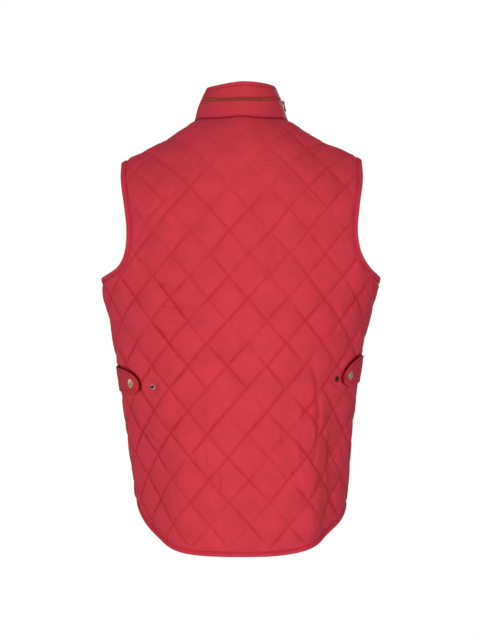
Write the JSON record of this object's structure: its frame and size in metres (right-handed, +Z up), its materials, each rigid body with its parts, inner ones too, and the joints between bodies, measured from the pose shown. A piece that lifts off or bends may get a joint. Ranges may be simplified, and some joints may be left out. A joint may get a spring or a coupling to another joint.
{
  "type": "quilted gilet",
  "caption": "Sleeveless diamond-quilted gilet in its worn shape, with a stand collar, bound armholes and curved hem, front zip and press-stud waist tabs.",
  "frame": {"origin": "middle of the neck, level with the points where the shoulder seams meet the collar, where the wearer's shoulders carry it", "axes": "+Z up, -Y out of the garment's front, +X to the wearer's left"},
  "size_m": [0.4817, 0.3253, 0.7903],
  "materials": {
    "quilted_cloth": "soft, fine plain weave",
    "plain_cloth": "soft, fine plain weave",
    "binding_cloth": "soft, fine plain weave",
    "zip_tape": "woven tape with dull metal teeth",
    "zip_metal": "aged, satin",
    "snap_metal": "aged, satin"
  },
  "bodies": {
    "garment": {"back": "quilted_cloth", "front_left": "quilted_cloth", "front_right": "quilted_cloth", "collar": "plain_cloth", "armhole_binding_left": "binding_cloth", "armhole_binding_right": "binding_cloth", "hem_binding": "binding_cloth", "front_zip": "zip_tape", "front_zip_slider": "zip_metal", "collar_zip": "zip_tape", "collar_zip_slider": "zip_metal", "side_tab_left": "plain_cloth", "side_tab_right": "plain_cloth", "snap_cap_left": "snap_metal", "snap_cap_right": "snap_metal", "snap_stud_left": "snap_metal", "snap_stud_right": "snap_metal"},
    "front_pull": {"front_zip_pull": "zip_metal"},
    "collar_pull": {"collar_zip_pull": "zip_metal"}
  },
  "joints": [
    {"name": "front_pull_swing", "type": "hinge", "parent": "garment", "child": "front_pull", "pos_m": [0, -0.09265, 0.00177], "axis": [-1, 0, 0], "range_deg": [0, 165]},
    {"name": "collar_pull_swing", "type": "hinge", "parent": "garment", "child": "collar_pull", "pos_m": [-0.07273, -0.01486, 0.04025], "axis": [-0.175, 0.9846, 0.0009], "range_deg": [0, 150]}
  ]
}
